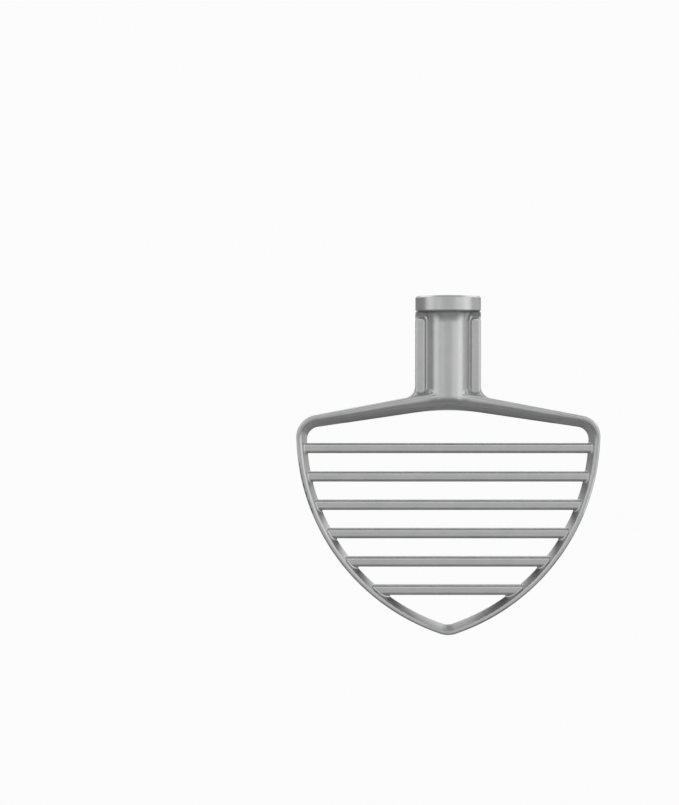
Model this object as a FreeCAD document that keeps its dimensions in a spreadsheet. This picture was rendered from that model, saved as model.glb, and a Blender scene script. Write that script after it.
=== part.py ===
# Flat beater for a stand mixer: one aluminium casting with a turned collar and a bored hub.
# Frame: origin on the hub axis at the collar's top face, X across the blade, Y through it, Z up.
import math
import os
from types import SimpleNamespace

import FreeCAD, Part
import Sketcher
from FreeCAD import Vector

# Driving sizes in millimetres and degrees
SIZES = (
    ("frame_width", 162.0),
    ("overall_height", 181.0),
    ("hub_height", 50.6),
    ("shoulder_drop", 22.5),
    ("shoulder_slope", 10.7),
    ("shoulder_radius", 11.3),
    ("arm_height", 10.3),
    ("arm_taper", 2.3),
    ("arch_radius", 125.0),
    ("corner_radius", 6.7),
    ("side_width", 5.6),
    ("tip_thinning", 0.7),
    ("tip_radius", 13.4),
    ("blade_thickness", 11.0),
    ("flare_drop", 29.4),
    ("flare_angle", 5.9),
    ("flare_radius", 116.0),
    ("land_thickness", 1.6),
    ("bevel_angle", 32.0),
    ("edge_radius", 1.1),
    ("ridge_chamfer", 0.6),
    ("bar_count", 6),
    ("first_bar_drop", 8.1),
    ("last_bar_rise", 23.8),
    ("bar_height", 5.3),
    ("bar_thickness", 7.0),
    ("bar_edge_radius", 1.6),
    ("barrel_diameter", 22.6),
    ("web_thickness", 4.0),
    ("web_edge_radius", 1.4),
    ("flank_angle", 58.0),
    ("web_root_radius", 4.6),
    ("foot_radius", 4.4),
    ("collar_diameter", 35.0),
    ("collar_height", 8.1),
    ("collar_top_chamfer", 0.9),
    ("collar_low_chamfer", 0.6),
    ("collar_root_radius", 4.0),
    ("bore_diameter", 13.0),
    ("bore_floor", 15.9),
    ("pin_width", 4.6),
    ("pin_reach", 4.1),
    ("pin_room", 4.4),
)

doc = FreeCAD.newDocument("flat_beater")
sheet = doc.addObject("Spreadsheet::Sheet", "sizes")
for row, (alias, number) in enumerate(SIZES, start=1):
    sheet.set("A%d" % row, str(number))
    sheet.setAlias("A%d" % row, alias)
doc.recompute()


class Size:
    """A number together with the sheet expression that gives it."""

    def __init__(self, text, number):
        self.text = text
        self.number = number

    def __add__(self, other):
        other = as_size(other)
        return Size("(%s + %s)" % (self.text, other.text), self.number + other.number)

    def __sub__(self, other):
        other = as_size(other)
        return Size("(%s - %s)" % (self.text, other.text), self.number - other.number)

    def __mul__(self, other):
        other = as_size(other)
        return Size("(%s * %s)" % (self.text, other.text), self.number * other.number)

    def __truediv__(self, other):
        other = as_size(other)
        return Size("(%s / %s)" % (self.text, other.text), self.number / other.number)

    def __neg__(self):
        return Size("(0 - %s)" % self.text, -self.number)


def as_size(value):
    return value if isinstance(value, Size) else Size(repr(float(value)), float(value))


def smaller(first, second):
    return Size("min(%s; %s)" % (first.text, second.text), min(first.number, second.number))


def tangent(angle):
    return Size("tan(%s)" % angle.text, math.tan(math.radians(angle.number)))


def sine(angle):
    return Size("sin(%s)" % angle.text, math.sin(math.radians(angle.number)))


def cosine(angle):
    return Size("cos(%s)" % angle.text, math.cos(math.radians(angle.number)))


s = SimpleNamespace(**{alias: Size("sizes." + alias, number) for alias, number in SIZES})

# Sizes that follow from the driving ones
half_width = s.frame_width / 2
widest_depth = s.hub_height + s.shoulder_drop
tip_drop = s.overall_height - s.tip_radius - widest_depth
side_radius = (half_width * half_width + tip_drop * tip_drop - s.tip_radius * s.tip_radius) / (
    (half_width - s.tip_radius) * 2)
half_depth = s.blade_thickness / 2
half_land = s.land_thickness / 2
bevel_width = (half_depth - half_land) * tangent(s.bevel_angle)
side_land = s.side_width - s.tip_thinning - bevel_width
edge_radius = smaller(s.edge_radius, side_land * 0.5)
ridge_chamfer = smaller(s.ridge_chamfer, (side_land - edge_radius) * 0.7)
underside_depth = s.hub_height + s.arm_height
underside_slope = s.shoulder_slope - s.arm_taper
flare_depth = s.hub_height + s.flare_drop
first_bar_depth = widest_depth + s.first_bar_drop
bar_span = s.overall_height - s.last_bar_rise - first_bar_depth
barrel_radius = s.barrel_diameter / 2
collar_radius = s.collar_diameter / 2
web_reach = collar_radius - 0.1
half_web = s.web_thickness / 2
bore_radius = s.bore_diameter / 2
bore_depth = underside_depth - s.bore_floor
pin_radius = bore_radius + s.pin_reach
pin_floor = s.collar_height - 0.5
pin_lip = pin_floor - s.pin_room
margin = 12.0
profile_rise = 6.0
barrel_run = 21.4
turning_spare = 6.0

START, END, CENTRE = 1, 2, 3
ORIGIN = (-1, 1)
UPRIGHT_AXIS = -2


# Sketch helpers
def new_sketch(body, name, plane, lift=None):
    sketch = body.newObject("Sketcher::SketchObject", name)
    support = [item for item in body.Origin.OriginFeatures if item.Role == plane][0]
    sketch.AttachmentSupport = [(support, "")]
    sketch.MapMode = "FlatFace"
    if lift is not None:
        sketch.setExpression("AttachmentOffset.Base.z", lift.text)
    return sketch


def line(sketch, first, second):
    return sketch.addGeometry(Part.LineSegment(Vector(*first, 0), Vector(*second, 0)))


def arc(sketch, centre, radius, first_angle, last_angle):
    circle = Part.Circle(Vector(*centre, 0), Vector(0, 0, 1), radius)
    return sketch.addGeometry(Part.ArcOfCircle(circle, first_angle, last_angle))


def tie(sketch, kind, *places):
    return sketch.addConstraint(Sketcher.Constraint(kind, *places))


def fix(sketch, kind, size, *places):
    index = sketch.addConstraint(Sketcher.Constraint(kind, *places, size.number))
    sketch.setExpression("Constraints[%d]" % index, size.text)


def fix_angle(sketch, size, geometry):
    index = sketch.addConstraint(Sketcher.Constraint("Angle", geometry, math.radians(size.number)))
    sketch.setExpression("Constraints[%d]" % index, "%s * 1 deg" % size.text)


def place(sketch, direction, size, geometry, point):
    if size.number < 0:
        fix(sketch, "Distance" + direction, -size, geometry, point, *ORIGIN)
    else:
        fix(sketch, "Distance" + direction, size, *ORIGIN, geometry, point)


def polygon(sketch, corners):
    """Closed outline of straight lines: every corner is held at its own two sizes."""
    count = len(corners)
    lines = []
    for index in range(count):
        first = [size.number for size in corners[index]]
        second = [size.number for size in corners[(index + 1) % count]]
        lines.append(line(sketch, first, second))
    for index in range(count):
        tie(sketch, "Coincident", lines[index], END, lines[(index + 1) % count], START)
        for direction, size in zip("XY", corners[index]):
            if abs(size.number) > 1e-9:
                place(sketch, direction, size, lines[index], START)
        if abs(corners[index][0].number) <= 1e-9:
            tie(sketch, "PointOnObject", lines[index], START, UPRIGHT_AXIS)
    return lines


def join_tangent(sketch, joints):
    for first, first_end, second, second_end in joints:
        tie(sketch, "Tangent", first, first_end, second, second_end)


def pointed_outline(sketch, crown_depth, crown_radius, slope, corner, side, tip, side_drop):
    """Upside-down pointed arch: crown, two shoulders, round corners, two long side arcs and the tip."""
    angle = math.radians(slope.number)
    centre_depth = crown_depth + crown_radius
    crown_centre = (0.0, -centre_depth.number)
    side_depth = widest_depth + side_drop
    side_centre = (half_width.number - side_radius.number, -side_depth.number)
    normal = (math.sin(angle), math.cos(angle))
    along = (math.cos(angle), -math.sin(angle))
    reach = crown_radius.number - corner.number
    offset = [crown_centre[i] + reach * normal[i] - side_centre[i] for i in (0, 1)]
    middle = offset[0] * along[0] + offset[1] * along[1]
    rest = offset[0] ** 2 + offset[1] ** 2 - (side.number - corner.number) ** 2
    length = -middle + math.sqrt(middle ** 2 - rest)
    shoulder = [crown_centre[i] + crown_radius.number * normal[i] for i in (0, 1)]
    shoulder_end = [shoulder[i] + length * along[i] for i in (0, 1)]
    corner_centre = [shoulder_end[i] - corner.number * normal[i] for i in (0, 1)]
    side_angle = math.atan2(corner_centre[1] - side_centre[1], corner_centre[0] - side_centre[0])
    tip_depth = math.sqrt((side.number - tip.number) ** 2 - side_centre[0] ** 2)
    tip_centre = (0.0, side_centre[1] - tip_depth)
    tip_angle = math.atan2(-tip_depth, -side_centre[0])
    line_angle = math.pi / 2 - angle
    left = lambda point: (-point[0], point[1])

    crown = arc(sketch, crown_centre, crown_radius.number, line_angle, math.pi - line_angle)
    right_arm = line(sketch, shoulder, shoulder_end)
    right_corner = arc(sketch, corner_centre, corner.number, side_angle, line_angle)
    right_side = arc(sketch, side_centre, side.number, tip_angle, side_angle)
    point = arc(sketch, tip_centre, tip.number, math.pi - tip_angle, 2 * math.pi + tip_angle)
    left_side = arc(sketch, left(side_centre), side.number, math.pi - side_angle, math.pi - tip_angle)
    left_corner = arc(
        sketch, left(corner_centre), corner.number, math.pi - line_angle, math.pi - side_angle)
    left_arm = line(sketch, left(shoulder_end), left(shoulder))
    join_tangent(sketch, (
        (crown, START, right_arm, START),
        (right_arm, END, right_corner, END),
        (right_corner, START, right_side, END),
        (right_side, START, point, END),
        (point, START, left_side, END),
        (left_side, START, left_corner, END),
        (left_corner, START, left_arm, START),
        (left_arm, END, crown, END),
    ))
    tie(sketch, "PointOnObject", crown, CENTRE, UPRIGHT_AXIS)
    place(sketch, "Y", -centre_depth, crown, CENTRE)
    fix(sketch, "Radius", crown_radius, crown)
    fix_angle(sketch, slope, left_arm)
    tie(sketch, "Equal", left_arm, right_arm)
    fix(sketch, "Radius", corner, right_corner)
    tie(sketch, "Equal", right_corner, left_corner)
    fix(sketch, "Radius", side, right_side)
    tie(sketch, "Equal", right_side, left_side)
    place(sketch, "X", half_width - side_radius, right_side, CENTRE)
    place(sketch, "Y", -side_depth, right_side, CENTRE)
    tie(sketch, "Symmetric", left_side, CENTRE, right_side, CENTRE, UPRIGHT_AXIS)
    fix(sketch, "Radius", tip, point)


def window_outline(sketch, grow):
    pointed_outline(
        sketch, underside_depth - grow, s.arch_radius + grow, underside_slope,
        s.corner_radius + grow, side_radius - s.side_width + grow, s.tip_radius - s.side_width + grow,
        s.tip_thinning)


# Feature helpers
def extrude(body, kind, name, sketch, length, side="Symmetric", reverse=False):
    feature = body.newObject("PartDesign::" + kind, name)
    feature.Profile = sketch
    feature.SideType = side
    feature.Reversed = reverse
    feature.setExpression("Length", length.text)
    doc.recompute()
    return feature


def turn(body, kind, name, sketch):
    feature = body.newObject("PartDesign::" + kind, name)
    feature.Profile = sketch
    feature.ReferenceAxis = (sketch, ["V_Axis"])
    feature.Angle = 360.0
    doc.recompute()
    return feature


def crease(shape, edge, spot):
    """Angle between the two faces that meet at an edge."""
    faces = shape.ancestorsOfType(edge, Part.Face)
    if len(faces) != 2:
        return 0.0
    normals = [face.normalAt(*face.Surface.parameter(spot)) for face in faces]
    return normals[0].getAngle(normals[1])


def soften(body, name, kind, size, belongs, sharpest=0.12):
    """Fillet or chamfer every sharp edge of the body whose points all pass the given test."""
    base = body.Tip
    names = []
    for number, edge in enumerate(base.Shape.Edges, start=1):
        first, last = edge.FirstParameter, edge.LastParameter
        points = [edge.valueAt(first + (last - first) * part / 4) for part in range(5)]
        if all(belongs(point) for point in points) and crease(base.Shape, edge, points[2]) > sharpest:
            names.append("Edge%d" % number)
    feature = body.newObject("PartDesign::" + kind, name)
    feature.Base = (base, names)
    feature.setExpression("Radius" if kind == "Fillet" else "Size", size.text)
    doc.recompute()
    return feature


# Blade blank: the outer outline as a thick plate
beater = doc.addObject("PartDesign::Body", "flat_beater")
beater.Label = "flat_beater"
outer = new_sketch(beater, "outer_outline", "XZ_Plane")
pointed_outline(
    outer, s.hub_height, barrel_radius * 2, s.shoulder_slope,
    s.shoulder_radius, side_radius, s.tip_radius, as_size(0))
blank_half = half_depth + margin
extrude(beater, "Pad", "blade_blank", outer, blank_half * 2)

# Thickness: even along the sides, then flaring to deepen the arms towards the hub
profile = new_sketch(beater, "thickness_profile", "YZ_Plane")
profile_top = s.hub_height - profile_rise
profile_low = s.overall_height + margin
turned = math.radians(s.flare_angle.number)
bend_length = s.flare_radius * tangent(s.flare_angle / 2)
bend_low = (flare_depth + bend_length).number
profile_out = blank_half + 4
slant_out = half_depth + (flare_depth - profile_top) * tangent(s.flare_angle)
for side in (-1, 1):
    near, far = half_depth * side, profile_out * side
    top_in = slant_out * side
    bend_centre = (side * (half_depth + s.flare_radius).number, -bend_low)
    bend_end = (
        bend_centre[0] - side * s.flare_radius.number * math.cos(turned),
        bend_centre[1] + s.flare_radius.number * math.sin(turned),
    )
    straight = line(profile, (near.number, -profile_low.number), (near.number, -bend_low))
    angles = (0.0, turned) if side < 0 else (math.pi - turned, math.pi)
    flare = arc(profile, bend_centre, s.flare_radius.number, *angles)
    low_end, high_end = (START, END) if side < 0 else (END, START)
    slant = line(profile, bend_end, (top_in.number, -profile_top.number))
    top = line(profile, (top_in.number, -profile_top.number), (far.number, -profile_top.number))
    outside = line(profile, (far.number, -profile_top.number), (far.number, -profile_low.number))
    bottom = line(profile, (far.number, -profile_low.number), (near.number, -profile_low.number))
    tie(profile, "Tangent", straight, END, flare, low_end)
    tie(profile, "Tangent", flare, high_end, slant, START)
    tie(profile, "Coincident", slant, END, top, START)
    tie(profile, "Coincident", top, END, outside, START)
    tie(profile, "Coincident", outside, END, bottom, START)
    tie(profile, "Coincident", bottom, END, straight, START)
    tie(profile, "Vertical", straight)
    tie(profile, "Horizontal", top)
    tie(profile, "Vertical", outside)
    tie(profile, "Horizontal", bottom)
    fix(profile, "Radius", s.flare_radius, flare)
    place(profile, "X", near, straight, START)
    place(profile, "Y", -profile_low, straight, START)
    place(profile, "X", top_in, top, START)
    place(profile, "Y", -(flare_depth + bend_length), straight, END)
    place(profile, "X", far, outside, START)
    place(profile, "Y", -profile_top, outside, START)
extrude(beater, "Pocket", "blade_thickness", profile, s.frame_width * 2)


def depth_at(height):
    """Half the blade's thickness at a height."""
    above = height + bend_low
    radius = s.flare_radius.number
    if above <= 0:
        return half_depth.number
    if above <= radius * math.sin(turned):
        return half_depth.number + radius - math.sqrt(radius ** 2 - above ** 2)
    return half_depth.number + (height + flare_depth.number) * math.tan(turned)


soften(beater, "outer_edges", "Fillet", edge_radius, lambda p: abs(abs(p.y) - depth_at(p.z)) < 2e-3)

# Hub: barrel with sloping flanks and a thin web on each side, drawn as one section with its root fillets
section = new_sketch(beater, "hub_section", "XY_Plane", -(s.collar_height * 0.5))
root_height = half_web + s.web_root_radius
root_reach = (barrel_radius + s.web_root_radius - cosine(s.flank_angle) * root_height) / sine(s.flank_angle)
root_out, root_up = root_reach.number, root_height.number
swing = math.pi / 2 - math.radians(s.flank_angle.number)
flank_x, flank_y = math.cos(swing), math.sin(swing)
barrel_side = (barrel_radius.number * flank_x, barrel_radius.number * flank_y)
edge_out = (web_reach - s.web_edge_radius).number
edge_up = (half_web - s.web_edge_radius).number
flat, root, edge = half_web.number, s.web_root_radius.number, s.web_edge_radius.number
root_side = (root_out - root * flank_x, root_up - root * flank_y)
half_turn = math.pi
right_end = line(section, (web_reach.number, -edge_up), (web_reach.number, edge_up))
edge_1 = arc(section, (edge_out, edge_up), edge, 0, half_turn / 2)
web_1 = line(section, (edge_out, flat), (root_out, flat))
root_1 = arc(section, (root_out, root_up), root, half_turn + swing, half_turn * 1.5)
flank_1 = line(section, root_side, barrel_side)
barrel_back = arc(section, (0, 0), barrel_radius.number, swing, half_turn - swing)
flank_2 = line(section, (-barrel_side[0], barrel_side[1]), (-root_side[0], root_side[1]))
root_2 = arc(section, (-root_out, root_up), root, half_turn * 1.5, half_turn * 2 - swing)
web_2 = line(section, (-root_out, flat), (-edge_out, flat))
edge_2 = arc(section, (-edge_out, edge_up), edge, half_turn / 2, half_turn)
left_end = line(section, (-web_reach.number, edge_up), (-web_reach.number, -edge_up))
edge_3 = arc(section, (-edge_out, -edge_up), edge, half_turn, half_turn * 1.5)
web_3 = line(section, (-edge_out, -flat), (-root_out, -flat))
root_3 = arc(section, (-root_out, -root_up), root, swing, half_turn / 2)
flank_3 = line(section, (-root_side[0], -root_side[1]), (-barrel_side[0], -barrel_side[1]))
barrel_front = arc(section, (0, 0), barrel_radius.number, half_turn + swing, half_turn * 2 - swing)
flank_4 = line(section, (barrel_side[0], -barrel_side[1]), (root_side[0], -root_side[1]))
root_4 = arc(section, (root_out, -root_up), root, half_turn / 2, half_turn - swing)
web_4 = line(section, (root_out, -flat), (edge_out, -flat))
edge_4 = arc(section, (edge_out, -edge_up), edge, half_turn * 1.5, half_turn * 2)
join_tangent(section, (
    (right_end, END, edge_1, START),
    (edge_1, END, web_1, START),
    (web_1, END, root_1, END),
    (root_1, START, flank_1, START),
    (flank_1, END, barrel_back, START),
    (barrel_back, END, flank_2, START),
    (flank_2, END, root_2, END),
    (root_2, START, web_2, START),
    (web_2, END, edge_2, START),
    (edge_2, END, left_end, START),
    (left_end, END, edge_3, START),
    (edge_3, END, web_3, START),
    (web_3, END, root_3, END),
    (root_3, START, flank_3, START),
    (flank_3, END, barrel_front, START),
    (barrel_front, END, flank_4, START),
    (flank_4, END, root_4, END),
    (root_4, START, web_4, START),
    (web_4, END, edge_4, START),
    (edge_4, END, right_end, START),
))
for barrel_arc in (barrel_back, barrel_front):
    tie(section, "Coincident", barrel_arc, CENTRE, *ORIGIN)
fix(section, "Radius", barrel_radius, barrel_back)
tie(section, "Equal", barrel_back, barrel_front)
fix(section, "Radius", s.web_root_radius, root_1)
fix(section, "Radius", s.web_edge_radius, edge_1)
for other_root, other_edge in ((root_2, edge_2), (root_3, edge_3), (root_4, edge_4)):
    tie(section, "Equal", root_1, other_root)
    tie(section, "Equal", edge_1, other_edge)
for root_arc, side in ((root_1, 1), (root_2, -1), (root_3, -1), (root_4, 1)):
    place(section, "X", root_reach * side, root_arc, CENTRE)
for web, side in ((web_1, 1), (web_2, 1), (web_3, -1), (web_4, -1)):
    tie(section, "Horizontal", web)
    place(section, "Y", half_web * side, web, START)
for web_end, side in ((right_end, 1), (left_end, -1)):
    tie(section, "Vertical", web_end)
    place(section, "X", web_reach * side, web_end, START)
hub_length = s.hub_height + s.arm_height * 0.64 - s.collar_height * 0.5
extrude(beater, "Pad", "hub", section, hub_length, "One side", True)

# Barrel foot: the barrel runs on through the arms with a round end, which the window later takes off
foot = new_sketch(beater, "barrel_foot", "XZ_Plane")
foot_top = s.hub_height * 0.6
foot_low = s.hub_height + barrel_run
foot_lid = line(foot, (0, -foot_top.number), (barrel_radius.number, -foot_top.number))
foot_wall = line(foot, (barrel_radius.number, -foot_top.number), (barrel_radius.number, -foot_low.number))
foot_round = arc(foot, (0, -foot_low.number), barrel_radius.number, half_turn * 1.5, half_turn * 2)
foot_axis = line(foot, (0, -(foot_low + barrel_radius).number), (0, -foot_top.number))
tie(foot, "Coincident", foot_lid, END, foot_wall, START)
tie(foot, "Tangent", foot_wall, END, foot_round, END)
tie(foot, "Coincident", foot_round, START, foot_axis, START)
tie(foot, "Coincident", foot_axis, END, foot_lid, START)
tie(foot, "Horizontal", foot_lid)
tie(foot, "Vertical", foot_axis)
tie(foot, "PointOnObject", foot_axis, END, UPRIGHT_AXIS)
tie(foot, "PointOnObject", foot_round, CENTRE, UPRIGHT_AXIS)
fix(foot, "Radius", barrel_radius, foot_round)
place(foot, "Y", -foot_top, foot_lid, END)
place(foot, "Y", -foot_low, foot_round, CENTRE)
turn(beater, "Revolution", "barrel", foot)


def on_hub(p):
    """True for a point on the skin of the barrel, its round end or a web."""
    x, y = abs(p.x), abs(p.y)
    gaps = (
        math.hypot(x, y) - barrel_radius.number,
        y - flat,
        x - web_reach.number,
        math.hypot(x - root_out, y - root_up) - root,
        x * flank_x + y * flank_y - barrel_radius.number,
        math.hypot(x - edge_out, y - edge_up) - edge,
        math.hypot(x, y, p.z + foot_low.number) - barrel_radius.number,
    )
    return min(abs(gap) for gap in gaps) < 2e-2


soften(beater, "foot_blend", "Fillet", s.foot_radius,
       lambda p: on_hub(p) and p.z < -s.hub_height.number * 0.9)

# Window: one opening inside the frame, with a bevel that widens to the front and to the back
bevel_reach = barrel_radius + 2 - half_land
bevel_grow = bevel_reach * tangent(s.bevel_angle)
window_sketches = []
for name, lift, grow in (
    ("window_front", half_land + bevel_reach, bevel_grow),
    ("window_land_front", half_land, as_size(0)),
    ("window_land_back", -half_land, as_size(0)),
    ("window_back", -(half_land + bevel_reach), bevel_grow),
):
    window_sketch = new_sketch(beater, name, "XZ_Plane", lift)
    window_outline(window_sketch, grow)
    window_sketches.append(window_sketch)
doc.recompute()
window = beater.newObject("PartDesign::SubtractiveLoft", "window")
window.Profile = window_sketches[0]
window.Sections = window_sketches[1:]
window.Ruled = True
doc.recompute()
window_skin = Part.makeCompound(window.AddSubShape.Faces)
window_skin.Placement = window.Placement


def on_window(p):
    return window_skin.distToShape(Part.Vertex(p))[0] < 3e-3


ridge_start = half_land.number + 0.7
soften(beater, "ridge", "Chamfer", ridge_chamfer, lambda p: abs(p.y) > ridge_start and on_window(p))

# Crossbars: round-edged bars, one below the other, cut to end inside the sides of the frame
bars = doc.addObject("PartDesign::Body", "crossbars")
bar_sketch = new_sketch(bars, "bar_section", "YZ_Plane")
bar_radius = smaller(s.bar_edge_radius, smaller(s.bar_height, s.bar_thickness) * 0.4)
half_bar, half_height = s.bar_thickness / 2, s.bar_height / 2
bar_y = (half_bar - bar_radius).number
bar_z = (half_height - bar_radius).number
bar_level = -first_bar_depth
bar_middle = bar_level.number
round_ends = []
flats = []
for turn_count, (across, upward) in enumerate(((1, 1), (-1, 1), (-1, -1), (1, -1))):
    start_angle = turn_count * half_turn / 2
    round_ends.append(arc(bar_sketch, (across * bar_y, bar_middle + upward * bar_z), bar_radius.number,
                          start_angle, start_angle + half_turn / 2))
bar_side = half_bar.number
bar_top, bar_base = (bar_level + half_height).number, (bar_level - half_height).number
bar_high, bar_low = bar_middle + bar_z, bar_middle - bar_z
flats.append(line(bar_sketch, (bar_y, bar_top), (-bar_y, bar_top)))
flats.append(line(bar_sketch, (-bar_side, bar_high), (-bar_side, bar_low)))
flats.append(line(bar_sketch, (-bar_y, bar_base), (bar_y, bar_base)))
flats.append(line(bar_sketch, (bar_side, bar_low), (bar_side, bar_high)))
for index in range(4):
    tie(bar_sketch, "Tangent", round_ends[index], END, flats[index], START)
    tie(bar_sketch, "Tangent", flats[index], END, round_ends[(index + 1) % 4], START)
fix(bar_sketch, "Radius", bar_radius, round_ends[0])
for index in (1, 2, 3):
    tie(bar_sketch, "Equal", round_ends[0], round_ends[index])
for index in (0, 2):
    tie(bar_sketch, "Horizontal", flats[index])
    tie(bar_sketch, "Vertical", flats[index + 1])
place(bar_sketch, "Y", half_height - first_bar_depth, flats[0], START)
place(bar_sketch, "Y", -half_height - first_bar_depth, flats[2], START)
place(bar_sketch, "X", -half_bar, flats[1], START)
place(bar_sketch, "X", half_bar, flats[3], START)
bar = extrude(bars, "Pad", "first_bar", bar_sketch, s.frame_width + margin)
row_of_bars = bars.newObject("PartDesign::LinearPattern", "bar_row")
row_of_bars.Originals = [bar]
upward_axis = [item for item in bars.Origin.OriginFeatures if item.Role == "Z_Axis"][0]
row_of_bars.Direction = (upward_axis, [""])
row_of_bars.Reversed = True
row_of_bars.setExpression("Length", bar_span.text)
row_of_bars.setExpression("Occurrences", s.bar_count.text)
bars.Tip = row_of_bars
doc.recompute()
trim = new_sketch(bars, "bar_trim", "XZ_Plane")
window_outline(trim, s.side_width * 0.57)
trim_out = s.frame_width
polygon(trim, (
    (trim_out, as_size(10)),
    (-trim_out, as_size(10)),
    (-trim_out, -(s.overall_height + margin)),
    (trim_out, -(s.overall_height + margin)),
))
extrude(bars, "Pocket", "bar_ends", trim, s.bar_thickness + margin)
joined = beater.newObject("PartDesign::Boolean", "with_crossbars")
joined.Type = "Fuse"
joined.setObjects([bars])
beater.Tip = joined
doc.recompute()

# Collar: a disc left large, blended into the hub below it, then turned to size
disc = new_sketch(beater, "collar_disc", "XY_Plane")
disc_radius = collar_radius + turning_spare
disc_circle = disc.addGeometry(Part.Circle(Vector(0, 0, 0), Vector(0, 0, 1), disc_radius.number))
tie(disc, "Coincident", disc_circle, CENTRE, *ORIGIN)
fix(disc, "Radius", disc_radius, disc_circle)
extrude(beater, "Pad", "collar_blank", disc, s.collar_height, "One side", True)
soften(beater, "collar_root", "Fillet", s.collar_root_radius,
       lambda p: abs(p.z + s.collar_height.number) < 1e-3 and on_hub(p))
rim = new_sketch(beater, "rim_profile", "XZ_Plane")
low, high = s.collar_low_chamfer, s.collar_top_chamfer
rim_out = collar_radius + margin
rim_low = s.collar_height + s.collar_root_radius + 0.5
rim_up = as_size(3)
above_rim = line(rim, ((collar_radius - high).number, rim_up.number), (rim_out.number, rim_up.number))
outside_rim = line(rim, (rim_out.number, rim_up.number), (rim_out.number, -rim_low.number))
below_rim = line(rim, (rim_out.number, -rim_low.number), (collar_radius.number, -rim_low.number))
notch_low = (collar_radius.number, -(s.collar_height + low).number)
notch_in = ((collar_radius - low).number, -s.collar_height.number)
notch_high = (collar_radius.number, -(s.collar_height - low).number)
chamfer_in = (collar_radius - high).number
web_trim = line(rim, (collar_radius.number, -rim_low.number), notch_low)
undercut = line(rim, notch_low, notch_in)
low_chamfer = line(rim, notch_in, notch_high)
rim_wall = line(rim, notch_high, (collar_radius.number, -high.number))
top_chamfer = line(rim, (collar_radius.number, -high.number), (chamfer_in, 0))
rim_close = line(rim, (chamfer_in, 0), (chamfer_in, rim_up.number))
tie(rim, "Coincident", above_rim, END, outside_rim, START)
tie(rim, "Coincident", outside_rim, END, below_rim, START)
tie(rim, "Coincident", below_rim, END, web_trim, START)
tie(rim, "Coincident", web_trim, END, undercut, START)
tie(rim, "Coincident", undercut, END, low_chamfer, START)
tie(rim, "Coincident", low_chamfer, END, rim_wall, START)
tie(rim, "Coincident", rim_wall, END, top_chamfer, START)
tie(rim, "Coincident", top_chamfer, END, rim_close, START)
tie(rim, "Coincident", rim_close, END, above_rim, START)
for flat_line in (above_rim, below_rim):
    tie(rim, "Horizontal", flat_line)
for upright_line in (outside_rim, web_trim, rim_wall, rim_close):
    tie(rim, "Vertical", upright_line)
place(rim, "Y", -high, top_chamfer, START)
place(rim, "Y", rim_up, above_rim, END)
place(rim, "X", rim_out, above_rim, END)
place(rim, "Y", -rim_low, below_rim, START)
place(rim, "X", collar_radius, web_trim, START)
place(rim, "Y", -(s.collar_height + low), web_trim, END)
place(rim, "X", collar_radius - low, undercut, END)
place(rim, "Y", -s.collar_height, undercut, END)
place(rim, "X", collar_radius, rim_wall, START)
place(rim, "Y", low - s.collar_height, rim_wall, START)
place(rim, "X", collar_radius - high, top_chamfer, END)
tie(rim, "PointOnObject", top_chamfer, END, -1)
turn(beater, "Groove", "turned_rim", rim)

# Bore: blind, with room below a lip for a cross pin to turn and lock
bore_profile = new_sketch(beater, "bore_profile", "XZ_Plane")
nothing = as_size(0)
drill_end = bore_depth + bore_radius * 0.6
polygon(bore_profile, (
    (nothing, as_size(2)),
    (nothing, -drill_end),
    (bore_radius, -bore_depth),
    (bore_radius, -pin_floor),
    (pin_radius, -pin_floor),
    (pin_radius, -pin_lip),
    (bore_radius, -pin_lip),
    (bore_radius, as_size(2)),
))
turn(beater, "Groove", "bore", bore_profile)

# Pin slots: two opposite ways in through the lip
slot = new_sketch(beater, "pin_slots", "XY_Plane")
half_slot = s.pin_width / 2
slot_end = math.sqrt(pin_radius.number ** 2 - half_slot.number ** 2)
slot_turn = math.asin(half_slot.number / pin_radius.number)
slot_right = arc(slot, (0, 0), pin_radius.number, -slot_turn, slot_turn)
slot_back = line(slot, (slot_end, half_slot.number), (-slot_end, half_slot.number))
slot_left = arc(slot, (0, 0), pin_radius.number, half_turn - slot_turn, half_turn + slot_turn)
slot_front = line(slot, (-slot_end, -half_slot.number), (slot_end, -half_slot.number))
tie(slot, "Coincident", slot_right, END, slot_back, START)
tie(slot, "Coincident", slot_back, END, slot_left, START)
tie(slot, "Coincident", slot_left, END, slot_front, START)
tie(slot, "Coincident", slot_front, END, slot_right, START)
for slot_arc in (slot_right, slot_left):
    tie(slot, "Coincident", slot_arc, CENTRE, *ORIGIN)
    fix(slot, "Radius", pin_radius, slot_arc)
for slot_side, side in ((slot_back, 1), (slot_front, -1)):
    tie(slot, "Horizontal", slot_side)
    place(slot, "Y", half_slot * side, slot_side, START)
extrude(beater, "Pocket", "pin_ways", slot, pin_floor, "One side")

# Write the part
doc.recompute()
for item in doc.Objects:
    if "Invalid" in item.State or "Error" in item.State:
        raise RuntimeError("%s did not build: %s" % (item.Name, item.State))
if beater.Shape.isNull() or not beater.Shape.isValid() or len(beater.Shape.Solids) != 1:
    raise RuntimeError("flat_beater is not one valid solid")
os.makedirs("parts", exist_ok=True)
beater.Shape.exportStep("parts/flat_beater.step")
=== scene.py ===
import math

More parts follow.
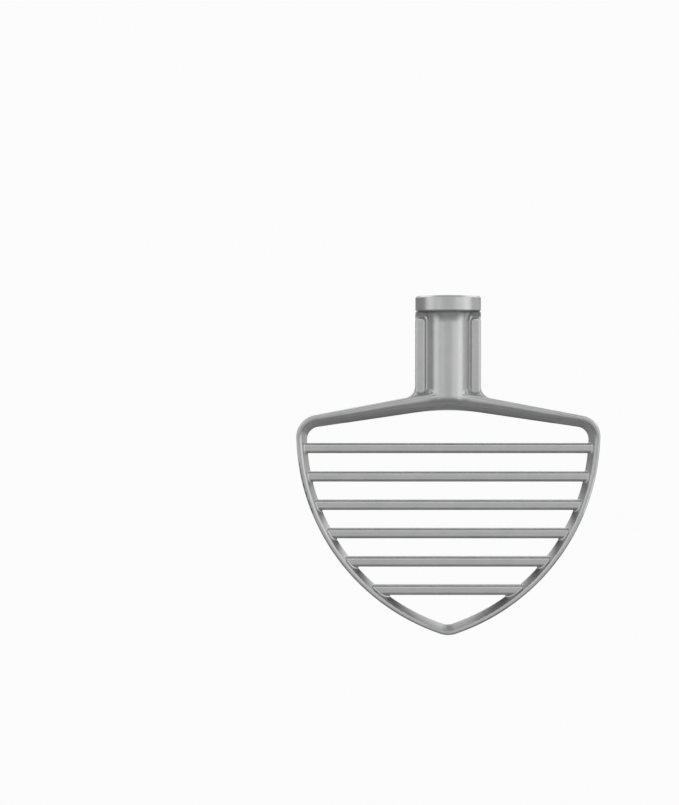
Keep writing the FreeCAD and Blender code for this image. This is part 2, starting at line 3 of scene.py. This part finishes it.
import bpy
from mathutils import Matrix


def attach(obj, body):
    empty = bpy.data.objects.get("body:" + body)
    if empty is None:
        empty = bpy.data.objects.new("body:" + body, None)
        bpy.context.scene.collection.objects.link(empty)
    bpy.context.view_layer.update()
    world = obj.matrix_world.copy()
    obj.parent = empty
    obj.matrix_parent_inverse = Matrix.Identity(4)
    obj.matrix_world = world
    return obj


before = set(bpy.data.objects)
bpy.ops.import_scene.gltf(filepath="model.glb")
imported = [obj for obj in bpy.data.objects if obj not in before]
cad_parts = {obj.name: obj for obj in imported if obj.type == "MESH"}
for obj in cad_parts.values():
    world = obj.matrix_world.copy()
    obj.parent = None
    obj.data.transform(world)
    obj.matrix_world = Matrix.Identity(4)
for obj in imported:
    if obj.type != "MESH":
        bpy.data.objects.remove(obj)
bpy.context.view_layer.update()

# Beater: one aluminium casting, frame, crossbars, hub and collar in a single pour.
# The casting is tumbled to a satin finish, so its grain is fine and its edges are soft.
# The collar is then turned on a lathe and the hub is bored from above.
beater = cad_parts["flat_beater"]
millimetre = 0.001
collar_height = 8.1 * millimetre
finish_change = 0.2 * millimetre
relief_depth = 0.03 * millimetre

satin = bpy.data.materials.new("satin_cast_aluminium")
satin.use_nodes = True
tree = satin.node_tree
shader = tree.nodes["Principled BSDF"]
shader.inputs["Metallic"].default_value = 1.0


def add_node(kind, label, **values):
    """A labelled node of the satin metal."""
    node = tree.nodes.new(kind)
    node.label = label
    for name, value in values.items():
        setattr(node, name, value)
    return node


def connect(source, target):
    """A link from an output to an input."""
    tree.links.new(source, target)


def calculate(label, operation, *terms):
    """The result of an operation, with each term a plain number or another node's output."""
    node = add_node("ShaderNodeMath", label, operation=operation)
    for index, term in enumerate(terms):
        if isinstance(term, (int, float)):
            node.inputs[index].default_value = term
        else:
            connect(term, node.inputs[index])
    return node.outputs[0]


def grain(label, vector, scale, detail, rough):
    """Noise over the metal, with so many grains to the metre."""
    node = add_node("ShaderNodeTexNoise", label)
    node.inputs["Scale"].default_value = scale
    node.inputs["Detail"].default_value = detail
    node.inputs["Roughness"].default_value = rough
    connect(vector, node.inputs["Vector"])
    return node.outputs["Fac"]


def spread(label, source, low, high, new_low, new_high):
    """A value between low and high, spread from new_low to new_high."""
    node = add_node("ShaderNodeMapRange", label)
    connect(source, node.inputs["Value"])
    for socket, value in (("From Min", low), ("From Max", high), ("To Min", new_low), ("To Max", new_high)):
        node.inputs[socket].default_value = value
    return node.outputs["Result"]


place = add_node("ShaderNodeTexCoord", "place on the casting").outputs["Object"]
axes = add_node("ShaderNodeSeparateXYZ", "axes")
connect(place, axes.inputs["Vector"])
across, through, upward = axes.outputs

# Tumbled skin: fine grain over soft patches
fine_grain = grain("fine grain", place, 2600.0, 3.0, 0.6)
soft_patches = grain("soft patches", place, 130.0, 3.0, 0.55)

# Turned rings: streaks that run round the collar, by height on its rim and by radius on its top
across_squared = calculate("x squared", "MULTIPLY", across, across)
through_squared = calculate("y squared", "MULTIPLY", through, through)
squares = calculate("squares", "ADD", across_squared, through_squared)
radius = calculate("distance from the axis", "SQRT", squares)
ring_place = add_node("ShaderNodeCombineXYZ", "ring place")
connect(radius, ring_place.inputs["X"])
connect(upward, ring_place.inputs["Z"])
rings = grain("turned rings", ring_place.outputs["Vector"], 1700.0, 3.0, 0.6)
on_collar = spread("on the collar", upward, -collar_height - finish_change,
                   -collar_height + finish_change, 0.0, 1.0)

# Colour
patch_tone = add_node("ShaderNodeMix", "patch tone", data_type="RGBA")
patch_tone.inputs["A"].default_value = (0.44, 0.443, 0.447, 1.0)
patch_tone.inputs["B"].default_value = (0.475, 0.475, 0.472, 1.0)
connect(spread("patch strength", soft_patches, 0.35, 0.65, 0.0, 1.0), patch_tone.inputs["Factor"])
connect(patch_tone.outputs["Result"], shader.inputs["Base Color"])

# Roughness
patch_rough = spread("patch roughness", soft_patches, 0.3, 0.7, 0.31, 0.37)
grain_rough = spread("grain roughness", fine_grain, 0.3, 0.7, -0.03, 0.03)
cast_rough = calculate("cast roughness", "ADD", patch_rough, grain_rough)
turned_rough = spread("turned roughness", rings, 0.3, 0.7, 0.27, 0.38)
finish_rough = add_node("ShaderNodeMix", "cast or turned", data_type="FLOAT")
connect(on_collar, finish_rough.inputs["Factor"])
connect(cast_rough, finish_rough.inputs["A"])
connect(turned_rough, finish_rough.inputs["B"])
connect(finish_rough.outputs["Result"], shader.inputs["Roughness"])

# Relief
skin = calculate("skin height", "MULTIPLY", fine_grain, 0.5)
turned = calculate("ring height", "MULTIPLY", calculate("ring depth", "MULTIPLY", rings, 2.6), on_collar)
relief = add_node("ShaderNodeBump", "relief")
relief.inputs["Strength"].default_value = 0.35
relief.inputs["Distance"].default_value = relief_depth
connect(calculate("relief height", "ADD", skin, turned), relief.inputs["Height"])
connect(relief.outputs["Normal"], shader.inputs["Normal"])

beater.data.materials.clear()
beater.data.materials.append(satin)

# Bar ends: the casting's own fillets, where each crossbar runs into the inside of the frame.
# Each is a closed ring that a ball of the fillet's radius would leave, rolled round the bar
# and against the frame, and it is of the same metal as the casting.
fillet_radius = 0.95
bar_count = 6
bar_top_depth = 81.2
bar_spacing = 15.2
bar_half_height = 2.65
bar_half_depth = 3.5
bar_round = 1.6
frame_centre = (-32.25, -73.8)
frame_radius = 107.65
half_land = 0.8
bevel = math.radians(32.0)
round_steps = 6
fillet_steps = 6
sink = 0.3
sharpest_smooth = math.radians(40.0)


def bar_rim():
    """Points and outward directions (y, z) round the section of a bar."""
    rim = []
    for quarter, (side, up) in enumerate(((1, 1), (-1, 1), (-1, -1), (1, -1))):
        centre = (side * (bar_half_depth - bar_round), up * (bar_half_height - bar_round))
        for step in range(round_steps + 1):
            angle = (quarter + step / round_steps) * math.pi / 2
            out = (math.cos(angle), math.sin(angle))
            rim.append(((centre[0] + bar_round * out[0], centre[1] + bar_round * out[1]), out))
    return rim


def wall_touch(depth):
    """For a ball at a depth y: its distance from the frame's centre, and the direction to the wall."""
    past_land = abs(depth) - half_land
    way = 1.0 if depth > 0 else -1.0
    if past_land <= 0:
        return frame_radius - fillet_radius, (1.0, 0.0)
    if past_land <= fillet_radius * math.sin(bevel):
        drop = math.sqrt(fillet_radius ** 2 - past_land ** 2)
        return frame_radius - drop, (drop / fillet_radius, -way * past_land / fillet_radius)
    reach = frame_radius + past_land * math.tan(bevel) - fillet_radius / math.cos(bevel)
    return reach, (math.cos(bevel), -way * math.sin(bevel))


def on_frame(reach, height):
    """Distance from the hub axis at a height, on a circle round the frame's centre."""
    return frame_centre[0] + math.sqrt(reach ** 2 - (height - frame_centre[1]) ** 2)


def fillet_ring(bar_height, spot, out):
    """Points at one spot of a bar's rim: the fillet from bar to frame, and one hidden in the metal."""
    ball_y = spot[0] + fillet_radius * out[0]
    ball_z = bar_height + spot[1] + fillet_radius * out[1]
    reach, (wall_out, wall_y) = wall_touch(ball_y)
    ball_x = on_frame(reach, ball_z)
    bearing = math.atan2(ball_z - frame_centre[1], ball_x - frame_centre[0])
    to_bar = (0.0, -out[0], -out[1])
    to_wall = (wall_out * math.cos(bearing), wall_y, wall_out * math.sin(bearing))
    swing = math.acos(sum(a * b for a, b in zip(to_bar, to_wall)))
    ring = []
    for step in range(fillet_steps + 1):
        share = step / fillet_steps
        near = math.sin((1 - share) * swing) / math.sin(swing)
        far = math.sin(share * swing) / math.sin(swing)
        way = [fillet_radius * (near * a + far * b) for a, b in zip(to_bar, to_wall)]
        ring.append((ball_x + way[0], ball_y + way[1], ball_z + way[2]))
    deep_y = spot[0] - sink * out[0]
    deep_z = bar_height + spot[1] - sink * out[1]
    deep_reach = frame_radius + max(abs(deep_y) - half_land, 0.0) * math.tan(bevel) + sink
    ring.append((on_frame(deep_reach, deep_z), deep_y, deep_z))
    return ring


def mirrored(shell):
    """A right-hand shell's rings, on the left."""
    return [[(-x, y, z) for x, y, z in ring] for ring in shell]


def cast_piece(name, shells, loop):
    """A piece of closed shells, each a skin over rings of points in millimetres, in a loop or capped."""
    corners = []
    faces = []
    for shell in shells:
        first = len(corners)
        count = len(shell[0])
        for ring in shell:
            corners += [(x * millimetre, y * millimetre, z * millimetre) for x, y, z in ring]
        for row in range(len(shell) if loop else len(shell) - 1):
            here = first + row * count
            beside = first + (row + 1) % len(shell) * count
            for spot in range(count):
                after = (spot + 1) % count
                faces.append((here + spot, here + after, beside + after, beside + spot))
        if not loop:
            faces.append(tuple(range(first, first + count)))
            faces.append(tuple(range(len(corners) - count, len(corners))))
    mesh = bpy.data.meshes.new(name)
    mesh.from_pydata(corners, [], faces)
    piece = bpy.data.objects.new(name, mesh)
    bpy.context.scene.collection.objects.link(piece)
    bpy.ops.object.select_all(action="DESELECT")
    piece.select_set(True)
    bpy.context.view_layer.objects.active = piece
    bpy.ops.object.mode_set(mode="EDIT")
    bpy.ops.mesh.select_all(action="SELECT")
    bpy.ops.mesh.normals_make_consistent(inside=False)
    bpy.ops.object.mode_set(mode="OBJECT")
    bpy.ops.object.shade_smooth_by_angle(angle=sharpest_smooth)
    return piece


fillets = []
for bar in range(bar_count):
    bar_height = -bar_top_depth - bar * bar_spacing
    right_end = [fillet_ring(bar_height, spot, out) for spot, out in bar_rim()]
    fillets += [right_end, mirrored(right_end)]
bar_ends = cast_piece("bar_end_fillets", fillets, loop=True)
bar_ends.data.materials.append(satin)
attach(bar_ends, "root")

# Arms and hub foot: the casting's own round front, from arm to arm across the foot of the barrel.
# It is drawn as a closed sleeve of rounded sections, which rises out of the barrel, rolls over into
# the window's bevel and sinks back into the arms, and it is of the same metal as the casting.
foot_reach = 64.0
foot_columns = 256
foot_steps = 10
barrel_radius = 11.3
blade_half = 5.5
flare_depth = 80.0
flare = math.tan(math.radians(5.9))
swell = 0.75
swell_place = 8.5
swell_width = 3.5
window_depth = 60.9
window_edge_half = 0.7
window_edge_drop = 0.05
window_edge_lift = 0.25
arch_radius = 125.0
arm_slope = math.radians(8.4)
shoulder_depth = 50.6
shoulder_slope = math.tan(math.radians(10.7))
shoulder_margin = 0.75
arm_start = 6.5
arm_blend = 6.0
middle_bevel = math.radians(15.0)
arm_bevel = math.radians(27.5)
end_bevel = math.radians(32.6)
bevel_run = 30.0
brow = math.radians(14.0)
roll_depth = 53.2
roll_proud = 0.05
roll_sink_on_arm = 0.13
end_sink = 0.3
end_start = 54.0
barrel_run = 5.7
barrel_side = 11.0
top_sink = 0.15
top_sink_on_arm = 0.6


def ease(share):
    """Smooth step from 0 to 1."""
    held = min(max(share, 0.0), 1.0)
    return held * held * (3.0 - 2.0 * held)


def hub_front(off, height):
    """Half depth of the barrel and the arms, with the hollow between them filled softly."""
    barrel = math.sqrt(max(barrel_radius ** 2 - off ** 2, 0.0))
    arm = blade_half + (height + flare_depth) * flare
    fill = swell * math.exp(-((off - swell_place) / swell_width) ** 2)
    return (barrel + arm) / 2 + math.hypot((barrel - arm) / 2, fill)


def window_edge(off):
    """Height of the window's upper edge: an arch in the middle and a straight slope under each arm."""
    arch = min(off, arch_radius * math.sin(arm_slope))
    drop = arch_radius - math.sqrt(arch_radius ** 2 - arch ** 2)
    return -window_depth - drop - (off - arch) * math.tan(arm_slope)


def foot_section(off):
    """Half section (depth, height) from the hidden top edge down to the window's edge."""
    on_arm = ease((off - arm_start) / arm_blend)
    at_end = ease((off - end_start) / (foot_reach - end_start))
    slope = middle_bevel + (arm_bevel - middle_bevel) * ease(off / bevel_run)
    slope += (end_bevel - slope) * at_end
    edge = (window_edge_half, window_edge(off) - window_edge_drop + window_edge_lift * at_end)
    arm_top = -shoulder_depth - off * shoulder_slope
    start_height = -roll_depth + (arm_top - shoulder_margin + roll_depth) * on_arm
    start_depth = hub_front(off, start_height) + roll_proud - roll_sink_on_arm * on_arm - end_sink * at_end
    start_tilt = brow * on_arm
    end_tilt = slope - math.pi / 2
    to_bevel = (start_depth - edge[0]) * math.cos(end_tilt) + (start_height - edge[1]) * math.sin(end_tilt)
    rounding = -to_bevel / (1.0 - math.cos(start_tilt - end_tilt))
    centre = (start_depth - rounding * math.cos(start_tilt), start_height - rounding * math.sin(start_tilt))
    away = ease(off / barrel_side)
    points = []
    for step in range(foot_steps):
        rest = 1.0 - step / foot_steps
        height = start_height + barrel_run * (1.0 - away) * rest
        depth = start_depth + hub_front(off, height) - hub_front(off, start_height)
        points.append((depth - top_sink * ease(rest) - top_sink_on_arm * away * rest, height))
    for step in range(foot_steps + 1):
        tilt = start_tilt + (end_tilt - start_tilt) * step / foot_steps
        points.append((centre[0] + rounding * math.cos(tilt), centre[1] + rounding * math.sin(tilt)))
    points.append(edge)
    return points


sleeve = []
for column in range(foot_columns + 1):
    along = foot_reach * (2.0 * column / foot_columns - 1.0)
    section = foot_section(abs(along))
    front = [(along, -depth, height) for depth, height in section]
    back = [(along, depth, height) for depth, height in section[::-1]]
    sleeve.append(front + back)
hub_foot = cast_piece("hub_foot", [sleeve], loop=False)
hub_foot.data.materials.append(satin)
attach(hub_foot, "root")

# Hub webs: the casting's own thick outer part of each web and the flare at its foot, where its outer
# edge runs out into the top of the arm. Each is a closed piece with a round edge, cast through the
# web, so it shows alike in front and behind, and it is of the same metal as the casting.
panel_inner = 11.9
panel_outer = 17.45
panel_top = -11.3
panel_low = -52.6
panel_half = 3.5
panel_corner = 2.1
panel_rounding = 1.8
panel_fall = 1.0
panel_rim = 0.05
corner_steps = 8
web_edge = 17.35
web_half = 2.45
web_top = -46.5
web_corner = -53.55
web_end = -54.78
web_runout = 6.5
web_widening = 3.4
web_rounding = 1.2
web_sunk = 2.6
web_steps = 24
edge_steps = 10


def round_edge(half, rounding, fall):
    """Quarter round (inset, sideways) from a face, half a thickness out, over to the side."""
    turns = [math.pi / 2 * step / edge_steps for step in range(edge_steps + 1)]
    return [(rounding * (1.0 - math.sin(turn)), half - fall * (1.0 - math.cos(turn))) for turn in turns]


def panel_ring(inset, sideways):
    """Rounded outline of the right web's panel, drawn in by the inset."""
    bend = panel_corner - inset
    ring = []
    for quarter in range(4):
        reach = panel_outer - panel_corner if quarter in (0, 3) else panel_inner + panel_corner
        height = panel_top - panel_corner if quarter in (0, 1) else panel_low + panel_corner
        for step in range(corner_steps + 1):
            turn = math.pi / 2 * (quarter + step / corner_steps)
            ring.append((reach + bend * math.cos(turn), sideways, height + bend * math.sin(turn)))
    return ring


def web_place(share, sideways, inset):
    """Place at the right web's flare: share runs from web to arm, the inset goes into the metal."""
    left = 1.0 - share
    reach = web_edge + web_runout * share ** 2
    height = web_top * left ** 2 + 2.0 * web_corner * left * share + web_end * share ** 2
    fall = left * (web_corner - web_top) + share * (web_end - web_corner)
    heading = math.atan2(fall, share * web_runout)
    return (reach + inset * math.sin(heading), sideways, height - inset * math.cos(heading))


def flare_ring(share):
    """Section of the right web's flare, from its front through its round edges to its back."""
    half = web_half + web_widening * share ** 2
    edge = [(web_sunk, half)] + round_edge(half, web_rounding, web_rounding)
    front = [web_place(share, -sideways, inset) for inset, sideways in edge]
    back = [web_place(share, sideways, inset) for inset, sideways in edge[::-1]]
    return front + back


panel_edge = [(panel_rounding + panel_rim, panel_half)] + round_edge(panel_half, panel_rounding, panel_fall)
panel = [panel_ring(inset, -sideways) for inset, sideways in panel_edge]
panel += [panel_ring(inset, sideways) for inset, sideways in panel_edge[::-1]]
web_flare = [flare_ring(row / web_steps) for row in range(web_steps + 1)]
hub_webs = cast_piece("hub_webs", [panel, web_flare, mirrored(panel), mirrored(web_flare)], loop=False)
hub_webs.data.materials.append(satin)
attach(hub_webs, "root")

# Collar root: the casting's own soft run-out of the barrel into the underside of the collar.
# It is a closed ring, thin below and thicker above, with its back sunk into the barrel's wall,
# and it is of the same metal as the casting.
root_low = -15.0
root_rise = 6.2
root_back = 10.9
root_sunk = 0.03
root_growth = 0.058
root_curve = 1.8
root_columns = 128
root_rows = 14

root_section = [(root_back, root_low + root_rise), (root_back, root_low)]
for row in range(root_rows + 1):
    rise = root_rise * row / root_rows
    root_section.append((barrel_radius - root_sunk + root_growth * rise ** root_curve, root_low + rise))
root_ring = []
for column in range(root_columns):
    turn = 2.0 * math.pi * column / root_columns
    cosine = math.cos(turn)
    sine = math.sin(turn)
    root_ring.append([(reach * cosine, reach * sine, height) for reach, height in root_section])
collar_root = cast_piece("collar_root", [root_ring], loop=True)
collar_root.data.materials.append(satin)
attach(collar_root, "root")

# Stage: a pale matt floor far below the beater and a white card far behind it, both plain.
# The card glows white to the camera and in reflections, and lights nothing else.
floor_size = 9.0
floor_height = -2.0
view_side = -0.058
card_place = (view_side, 2.3, -0.11)
card_width = 1.5
card_height = 1.75

bpy.ops.object.select_all(action="DESELECT")
bpy.ops.mesh.primitive_plane_add(size=floor_size, location=(0.0, 0.0, floor_height))
floor = bpy.context.object
floor.name = "floor"
bpy.ops.object.transform_apply(location=True, rotation=True, scale=True)
floor_paint = bpy.data.materials.new("pale_floor")
floor_paint.use_nodes = True
floor_shader = floor_paint.node_tree.nodes["Principled BSDF"]
floor_shader.inputs["Base Color"].default_value = (0.56, 0.56, 0.56, 1.0)
floor_shader.inputs["Roughness"].default_value = 0.9
floor_shader.inputs["Specular IOR Level"].default_value = 0.1
floor.data.materials.append(floor_paint)

bpy.ops.object.select_all(action="DESELECT")
bpy.ops.mesh.primitive_plane_add(size=1.0, location=card_place)
card = bpy.context.object
card.name = "white_card"
card.rotation_euler = (math.pi / 2, 0.0, 0.0)
card.scale = (card_width, card_height, 1.0)
bpy.ops.object.transform_apply(location=True, rotation=True, scale=True)
card_paint = bpy.data.materials.new("white_card")
card_paint.use_nodes = True
card_nodes = card_paint.node_tree.nodes
card_links = card_paint.node_tree.links
card_nodes.remove(card_nodes["Principled BSDF"])
card_glow = card_nodes.new("ShaderNodeEmission")
card_glow.inputs["Color"].default_value = (0.97, 0.97, 0.97, 1.0)
card_rays = card_nodes.new("ShaderNodeLightPath")
card_seen = card_nodes.new("ShaderNodeMath")
card_seen.operation = "MAXIMUM"
card_white = card_nodes.new("ShaderNodeMath")
card_white.operation = "MAXIMUM"
card_links.new(card_rays.outputs["Is Camera Ray"], card_seen.inputs[0])
card_links.new(card_rays.outputs["Is Glossy Ray"], card_seen.inputs[1])
card_links.new(card_seen.outputs["Value"], card_white.inputs[0])
card_links.new(card_rays.outputs["Is Transmission Ray"], card_white.inputs[1])
card_links.new(card_white.outputs["Value"], card_glow.inputs["Strength"])
card_links.new(card_glow.outputs["Emission"], card_nodes["Material Output"].inputs["Surface"])
card.data.materials.append(card_paint)

# Light: an even grey world and soft boxes all round the beater, out of the camera's sight.
# Those level with it in front are weak, for the flat faces. The brighter ones, at the sides, above
# the front and high behind, make the broad bands on the barrel, the collar and the bevels.
beater_middle = -0.09
world = bpy.data.worlds.new("studio")
bpy.context.scene.world = world
world.use_nodes = True
world.node_tree.nodes["Background"].inputs["Color"].default_value = (0.26, 0.26, 0.26, 1.0)
world.node_tree.nodes["Background"].inputs["Strength"].default_value = 1.0


def soft_box(name, bearing, distance, lift, width, height, level):
    """A soft box that faces the beater: bearing 0 is in front, 90 to the right, lift 90 is overhead."""
    lamp = bpy.data.lights.new(name, "AREA")
    lamp.shape = "RECTANGLE"
    lamp.size = width
    lamp.size_y = height
    lamp.energy = level * math.pi * width * height
    box = bpy.data.objects.new(name, lamp)
    bpy.context.scene.collection.objects.link(box)
    turn = math.radians(bearing)
    rise = math.radians(lift)
    flat = distance * math.cos(rise)
    above = distance * math.sin(rise)
    box.location = (flat * math.sin(turn), -flat * math.cos(turn), above + beater_middle)
    box.rotation_euler = (math.pi / 2 - rise, 0.0, turn)
    box.visible_camera = False


soft_box("front_soft_box", 0.0, 2.4, 5.0, 5.2, 1.9, 0.58)
soft_box("left_front_soft_box", -38.0, 2.3, 8.0, 1.1, 2.0, 0.25)
soft_box("right_front_soft_box", 37.0, 2.3, 8.0, 1.3, 2.0, 0.38)
soft_box("left_soft_box", -70.0, 1.5, 4.0, 0.92, 1.7, 1.07)
soft_box("right_soft_box", 68.0, 1.5, 4.0, 0.92, 1.7, 1.32)
soft_box("upper_front_soft_box", 0.0, 2.2, 34.0, 3.4, 0.85, 1.0)
soft_box("lower_front_soft_box", 0.0, 2.3, -25.0, 3.6, 0.75, 0.24)
soft_box("left_back_soft_box", -128.0, 2.0, 40.0, 1.9, 1.5, 1.4)
soft_box("right_back_soft_box", 128.0, 2.0, 40.0, 1.9, 1.5, 1.4)
soft_box("overhead_soft_box", 0.0, 1.7, 90.0, 1.8, 2.4, 0.42)
soft_box("back_soft_box", 180.0, 2.0, 50.0, 1.6, 1.0, 0.5)
soft_box("left_fill", -122.0, 2.0, 0.0, 2.1, 1.4, 0.12)
soft_box("right_fill", 118.0, 2.0, 0.0, 2.1, 1.6, 0.52)

# Camera: level with the hub and to the left of it, looking slightly down.
# The colours are shown as they are, with no film look.
camera_place = (view_side, -0.95, -0.034)
camera_aim = (view_side, 0.0, -0.0568)
lens = bpy.data.cameras.new("camera")
lens.sensor_width = 36.0
lens.lens = 79.4
camera = bpy.data.objects.new("camera", lens)
bpy.context.scene.collection.objects.link(camera)
camera.location = camera_place
drop = math.atan2(camera_aim[2] - camera_place[2], camera_aim[1] - camera_place[1])
camera.rotation_euler = (math.pi / 2 + drop, 0.0, 0.0)
bpy.context.scene.camera = camera
bpy.context.scene.view_settings.view_transform = "Standard"
